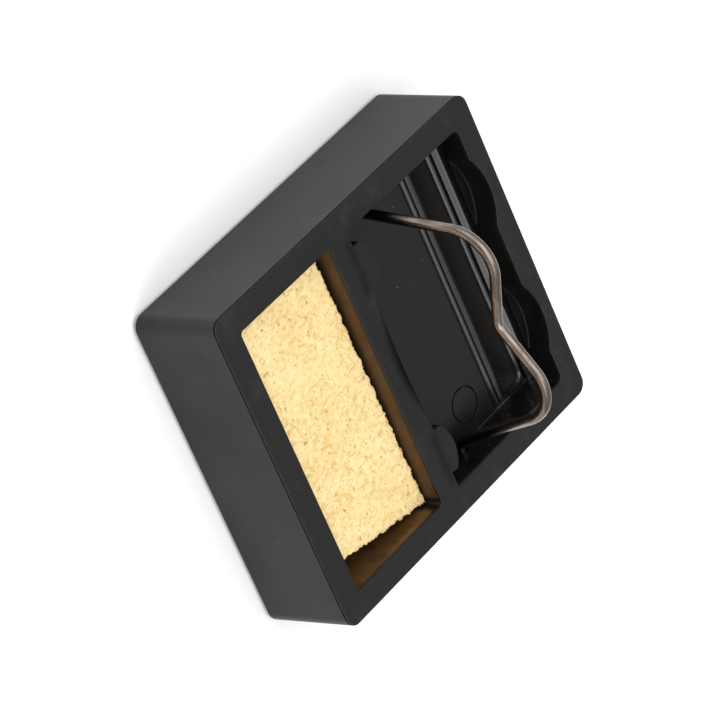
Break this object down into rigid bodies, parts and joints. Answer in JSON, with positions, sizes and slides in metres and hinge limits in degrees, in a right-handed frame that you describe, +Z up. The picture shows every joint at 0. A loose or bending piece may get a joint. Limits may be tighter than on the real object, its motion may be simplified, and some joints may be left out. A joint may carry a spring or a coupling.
{
  "type": "soldering iron stand",
  "caption": "Rectangular moulded tray with a sponge well in front and a folding bent-wire cradle that holds a soldering iron over a rear pocket, on small rubber feet.",
  "frame": {"origin": "middle of the tray, on the plane that the feet stand on", "axes": "+Z up; +Y to the back, from the sponge well towards the pocket; +X to the right as seen from the front; the cradle's pivot axis runs along X"},
  "size_m": [0.077, 0.089, 0.0449],
  "materials": {
    "tray_plastic": "satin black moulding, glossier inside the pocket",
    "steel_wire": "drawn round wire, faintly browned",
    "cellulose_sponge": "dry fibrous cellulose, matt",
    "foot_rubber": "matt black"
  },
  "bodies": {
    "tray": {"base_tray": "tray_plastic", "foot_front_left": "foot_rubber", "foot_front_right": "foot_rubber", "foot_rear_left": "foot_rubber", "foot_rear_right": "foot_rubber"},
    "cradle": {"wire_cradle": "steel_wire"},
    "pad": {"sponge": "cellulose_sponge"}
  },
  "joints": [
    {"name": "cradle_fold", "type": "hinge", "parent": "tray", "child": "cradle", "pos_m": [0, 0.01065, 0.0153], "axis": [1, 0, 0], "range_deg": [-74, 40]},
    {"name": "sponge_lift", "type": "slide", "parent": "tray", "child": "pad", "axis": [0, 0, 1], "range_m": [0, 0.025]}
  ]
}
